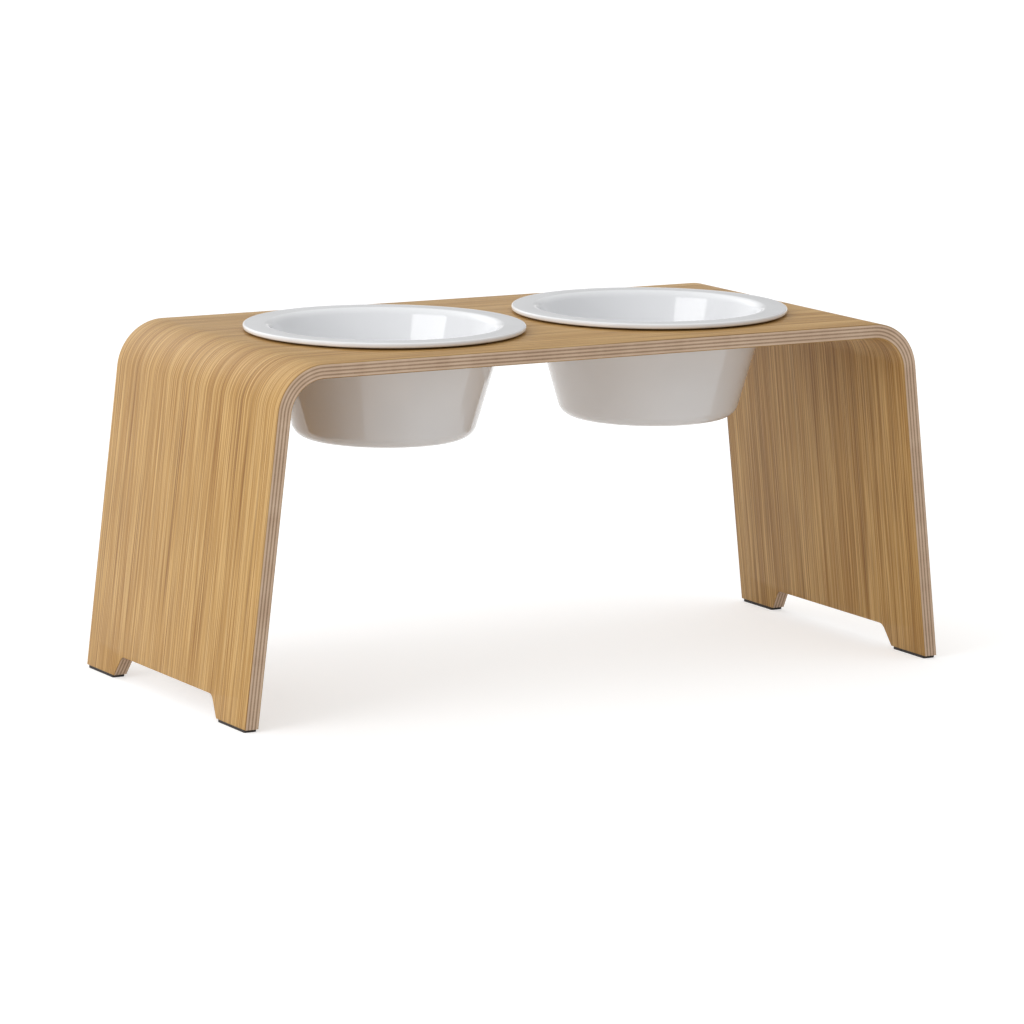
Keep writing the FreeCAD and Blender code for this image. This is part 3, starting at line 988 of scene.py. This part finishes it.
    def build(self) -> None:
        """Make every ply, dress it and tie it to the frame."""
        tree = self.tree()
        finishes = {
            Slot.OAK_VENEER: OakFinish().material(self.shelf),
            Slot.PALE_PLY: PlyFinish("pale_ply", Grain.ALONG).material(self.shelf),
            Slot.DARK_PLY: PlyFinish("dark_ply", Grain.ACROSS, seed=17.0).material(self.shelf),
        }
        for ply in self.plies():
            maker = bpy.data.objects.new(ply.name, bpy.data.meshes.new(ply.name))
            sizes = {
                "Half Depth": self.half_depth,
                "Bend Start": self.bend_start,
                "Bend Height": self.bend_height,
                "Bend Radius": self.bend_radius,
                "Bend Turn": QUARTER_TURN - self.lean,
                "Foot Height": self.foot_height,
                "Outer Depth": ply.outer,
                "Inner Depth": ply.inner,
                "Hole Offset": self.hole_offset,
                "Hole Radius": self.hole_radius,
                "Notch Half Width": self.notch_half_width,
                "Notch Flare": self.notch_flare,
                "Notch Height": self.notch_height,
                "Notch Radius": self.notch_radius,
                "Softened Depth": ply.outer if ply.outer == 0.0 else ply.inner,
                "Material": finishes[ply.slot],
            }
            piece = settle(maker, tree, sizes, ply.arris)
            enlist(piece, Body.STAND, ply.node)


@dataclass
class Bowl:
    """A turned porcelain bowl that hangs by its flat rim."""

    table_height: float = 249 * MM
    axis_offset: float = 109 * MM
    mouth_radius: float = 84.5 * MM
    drop: float = 75 * MM
    draft: float = math.radians(16)
    wall: float = 5 * MM
    floor: float = 5 * MM
    flange_width: float = 15.5 * MM
    flange_thickness: float = 5 * MM
    flange_seat: float = 6 * MM
    flange_lift: float = 1.6 * MM
    flange_edge: float = 1.462 * MM
    lip_radius: float = 6 * MM
    inside_radius: float = 15 * MM
    outside_radius: float = 12 * MM
    root_radius: float = 1 * MM
    ring_width: float = 5 * MM
    ring_height: float = 1.5 * MM
    ring_edge: float = 0.6 * MM
    sides: int = 192
    fillet_steps: int = 11
    hoop: float = 0.1
    crisp_angle: float = 40.0

    def profile(self) -> list[Place]:
        """Give half the section from the inside axis out, as radius, height over the table and fillet."""
        slope = math.tan(self.draft)
        level_wall = self.wall / math.cos(self.draft)
        base = self.mouth_radius - self.drop * slope
        under = -self.drop + self.ring_height
        inside = under + self.floor
        rim = self.mouth_radius + self.flange_width
        inner_mouth = self.mouth_radius - level_wall
        ring = base - self.outside_radius - self.ring_width
        return [
            (0.0, inside, 0.0),
            (inner_mouth + inside * slope, inside, self.inside_radius),
            (inner_mouth + self.flange_thickness * slope, self.flange_thickness, self.lip_radius),
            (rim, self.flange_thickness, self.flange_edge),
            (rim, self.flange_lift, self.flange_edge),
            (self.mouth_radius + self.flange_seat, 0.0, 0.0),
            (self.mouth_radius, 0.0, self.root_radius),
            (base, -self.drop, self.outside_radius),
            (ring, -self.drop, self.ring_edge),
            (ring, under, 0.0),
            (0.0, under, 0.0),
        ]

    def tree(self) -> ShapeTree:
        """Make the tree that rounds a section's corners and turns it about an upright axis.

        Returns:
            The shape tree.
        """
        tree = ShapeTree("Turned bowl", takes_geometry=True)
        sides = tree.size("Sides", "NodeSocketInt")
        steps = tree.size("Fillet Steps", "NodeSocketInt")
        hoop = tree.size("Hoop Radius")
        axis = tree.size("Axis Offset")
        table = tree.size("Table Height")
        material = tree.size("Material", "NodeSocketMaterial")
        section = tree.add("GeometryNodeMeshToCurve", {"Mesh": tree.source.outputs["Geometry"]}).outputs[0]
        radius = tree.add("GeometryNodeInputNamedAttribute", {"Name": "fillet"}, data_type="FLOAT").outputs[0]
        rounded = tree.rounded(section, steps, radius)
        hoops = {"Resolution": sides, "Radius": hoop}
        path = tree.add("GeometryNodeCurvePrimitiveCircle", hoops, mode="RADIUS").outputs[0]
        turned = tree.add("GeometryNodeCurveToMesh", {"Curve": path, "Profile Curve": rounded}).outputs[0]
        placed = tree.moved(tree.welded(turned), tree.vector(axis, 0.0, table))
        tree.close(placed, material)
        return tree

    def section(self, name: str) -> bpy.types.Mesh:
        """Make the section's corners as a mesh of edges that carries each corner's fillet.

        Args:
            name: The mesh's name.

        Returns:
            The mesh.
        """
        corners = self.profile()
        mesh = bpy.data.meshes.new(name)
        points = [(radius - self.hoop, -height, 0.0) for radius, height, _ in corners]
        mesh.from_pydata(points, [(i, i + 1) for i in range(len(corners) - 1)], [])
        fillets = mesh.attributes.new("fillet", "FLOAT", "POINT")
        for item, (_, _, fillet) in zip(fillets.data, corners):
            item.value = fillet
        return mesh

    def build(self) -> None:
        """Make both bowls, glaze them and tie them to the frame."""
        tree = self.tree()
        glaze = PorcelainFinish().material()
        sides = ((Body.LEFT_BOWL, "porcelain_bowl_left", -1), (Body.RIGHT_BOWL, "porcelain_bowl_right", 1))
        for body, name, side in sides:
            maker = bpy.data.objects.new(name, self.section(name))
            sizes = {
                "Sides": self.sides,
                "Fillet Steps": self.fillet_steps,
                "Hoop Radius": self.hoop,
                "Axis Offset": side * self.axis_offset,
                "Table Height": self.table_height,
                "Material": glaze,
            }
            piece = settle(maker, tree, sizes, sharp=self.crisp_angle)
            enlist(piece, body, body.value)


@dataclass
class FootPads:
    """The four thin pads glued under the feet."""

    corner: float = 1.5 * MM
    corner_steps: int = 8
    edge: float = 0.25 * MM

    def tree(self) -> ShapeTree:
        """Make the tree that cuts a pad with rounded corners out of a sheet.

        Returns:
            The shape tree.
        """
        tree = ShapeTree("Foot pad")
        low_x, low_y, low_z = tree.split(tree.size("Low Corner", "NodeSocketVector"))
        high_x, high_y, high_z = tree.split(tree.size("High Corner", "NodeSocketVector"))
        corner = tree.size("Corner Radius")
        material = tree.size("Material", "NodeSocketMaterial")
        outline = tree.add("GeometryNodeCurvePrimitiveQuadrilateral", {
            "Width": tree.minus(high_x, low_x),
            "Height": tree.minus(high_y, low_y),
        }, mode="RECTANGLE").outputs[0]
        pad = tree.prism(tree.rounded(outline, self.corner_steps, corner), tree.minus(high_z, low_z))
        at_floor = tree.math("LESS_THAN", tree.place()[2], LEVEL_SLACK)
        pad = tree.noted(pad, SOFT_EDGES, tree.times(tree.corners(), at_floor), "FLOAT", "EDGE")
        centre = tree.vector(
            tree.times(tree.plus(low_x, high_x), 0.5),
            tree.times(tree.plus(low_y, high_y), 0.5),
            low_z,
        )
        tree.close(tree.moved(pad, centre), material)
        return tree

    def build(self) -> None:
        """Make the pads where the frame has them, dress them and tie them to the frame."""
        tree = self.tree()
        rubber = RubberFinish().material()
        for row in ("front", "rear"):
            for side in ("left", "right"):
                node = f"{row}_{side}_foot_pad"
                low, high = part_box(node)
                name = f"rubber_pad_{row}_{side}"
                maker = bpy.data.objects.new(name, bpy.data.meshes.new(name))
                sizes = {
                    "Low Corner": tuple(low),
                    "High Corner": tuple(high),
                    "Corner Radius": self.corner,
                    "Material": rubber,
                }
                piece = settle(maker, tree, sizes, self.edge)
                enlist(piece, Body.STAND, node)


@dataclass(frozen=True)
class Softbox:
    """A rectangular studio lamp that looks at a point of the object."""

    name: str
    place: Place
    target: Place
    width: float
    height: float
    power: float

    def hang(self) -> None:
        """Add the lamp to the scene."""
        data = bpy.data.lights.new(self.name, "AREA")
        data.shape = "RECTANGLE"
        data.size = self.width
        data.size_y = self.height
        data.energy = self.power
        lamp = bpy.data.objects.new(self.name, data)
        lamp.location = self.place
        aim = Vector(self.target) - Vector(self.place)
        lamp.rotation_euler = aim.to_track_quat("-Z", "Y").to_euler()
        bpy.context.scene.collection.objects.link(lamp)


@dataclass
class Studio:
    """The white studio: floor, lamp, world and the camera at the photograph's viewing angle."""

    focal_pixels: float = 5287.55
    eye: Place = (-1.86719, -3.247045, 0.770168)
    yaw: float = 0.52095
    pitch: float = -0.17437
    roll: float = 0.01024
    sight: float = 100.0
    floor_half: float = 12.0
    paper: Colour = (0.75, 0.71, 0.67, 1.0)
    shown: Colour = (0.66, 0.66, 0.66, 1.0)
    floor_glow: float = 0.5
    white_below: float = 0.03
    dome_above: float = 0.12
    dome_low: float = 0.32
    dome_rise: float = 0.66
    glow: float = 1.8
    glow_focus: float = 12.0
    glow_side: Place = (-0.221, 0.864, 0.452)
    key: Softbox = Softbox("key", (-2.77, -0.49, 1.2), (0.0, 0.0, 0.2), 1.9, 1.2, 31.5)

    def camera(self) -> None:
        """Set up the camera."""
        flat = math.cos(self.pitch)
        ahead = Vector((math.sin(self.yaw) * flat, math.cos(self.yaw) * flat, math.sin(self.pitch)))
        right = Vector((math.cos(self.yaw), -math.sin(self.yaw), 0.0))
        above = right.cross(ahead)
        level = math.cos(self.roll) * right + math.sin(self.roll) * above
        upright = math.cos(self.roll) * above - math.sin(self.roll) * right
        data = bpy.data.cameras.new("camera")
        data.sensor_width = SENSOR_WIDTH
        data.lens = self.focal_pixels * SENSOR_WIDTH / PHOTO_WIDTH
        data.clip_end = self.sight
        eye = bpy.data.objects.new("camera", data)
        turn = Matrix((level, upright, -ahead)).transposed().to_4x4()
        eye.matrix_world = Matrix.Translation(self.eye) @ turn
        bpy.context.scene.collection.objects.link(eye)
        bpy.context.scene.camera = eye

    @staticmethod
    def looks(graph: Graph) -> Socket:
        """Tell the rays that show the background, straight, mirrored or through glass, from those that light.

        Args:
            graph: The tree that asks.

        Returns:
            1 for a ray that shows the background, 0 for one that lights the object.
        """
        rays = graph.add("ShaderNodeLightPath").outputs
        mirrored = graph.larger(rays["Is Glossy Ray"], rays["Is Transmission Ray"])
        return graph.larger(rays["Is Camera Ray"], mirrored)

    def floor(self) -> None:
        """Lay a white floor that keeps the object's soft shadow and can be seen through from below."""
        half = self.floor_half
        mesh = bpy.data.meshes.new("studio_floor")
        corners = [(-half, -half, 0), (half, -half, 0), (half, half, 0), (-half, half, 0)]
        mesh.from_pydata(corners, [], [(0, 1, 2, 3)])
        plane = bpy.data.objects.new("studio_floor", mesh)
        bpy.context.scene.collection.objects.link(plane)
        material = bpy.data.materials.new("studio_floor")
        material.use_nodes = True
        graph = Graph(material.node_tree)
        material.node_tree.nodes.clear()
        paper = graph.add("ShaderNodeBsdfDiffuse", {"Color": self.paper}).outputs[0]
        shown = graph.add("ShaderNodeBsdfDiffuse", {"Color": self.shown}).outputs[0]
        glow = graph.add("ShaderNodeEmission", {"Strength": self.floor_glow}).outputs[0]
        white = graph.add("ShaderNodeAddShader", {0: shown, 1: glow}).outputs[0]
        upper = graph.add("ShaderNodeMixShader", {0: self.looks(graph), 1: paper, 2: white}).outputs[0]
        below = graph.add("ShaderNodeNewGeometry").outputs["Backfacing"]
        clear = graph.add("ShaderNodeBsdfTransparent").outputs[0]
        both = graph.add("ShaderNodeMixShader", {0: below, 1: upper, 2: clear}).outputs[0]
        graph.add("ShaderNodeOutputMaterial", {"Surface": both})
        mesh.materials.append(material)

    def world(self) -> None:
        """Light the object with a smooth dome, white at the floor and with a glow behind the left end."""
        world = bpy.data.worlds.new("studio")
        bpy.context.scene.world = world
        world.use_nodes = True
        graph = Graph(world.node_tree)
        world.node_tree.nodes.clear()
        ray = graph.add("ShaderNodeTexCoord").outputs["Generated"]
        height = graph.larger(graph.split(ray)[2], 0.0)
        horizon = graph.remap(height, self.dome_above, self.white_below)
        level = graph.scaled(height, self.dome_rise, self.dome_low)
        level = graph.scaled(graph.minus(1.0, level), horizon, level)
        facing = graph.add("ShaderNodeVectorMath", {0: ray, 1: self.glow_side}, operation="DOT_PRODUCT")
        lobe = graph.math("POWER", graph.larger(facing.outputs["Value"], 0.0), self.glow_focus)
        level = graph.scaled(lobe, self.glow, level)
        dome = graph.add("ShaderNodeBackground", {"Color": (1, 1, 1, 1), "Strength": level}).outputs[0]
        graph.add("ShaderNodeOutputWorld", {"Surface": dome})

    def build(self) -> None:
        """Set up the whole studio."""
        self.camera()
        self.floor()
        self.world()
        self.key.hang()
        bpy.context.scene.view_settings.view_transform = "Standard"


def main() -> None:
    """Build the feeder and its studio."""
    logging.basicConfig(level=logging.INFO, format="%(name)s %(message)s")
    shelf = Shelf()
    BentBoard(shelf).build()
    Bowl().build()
    FootPads().build()
    Studio().build()


if __name__ == "__main__":
    main()
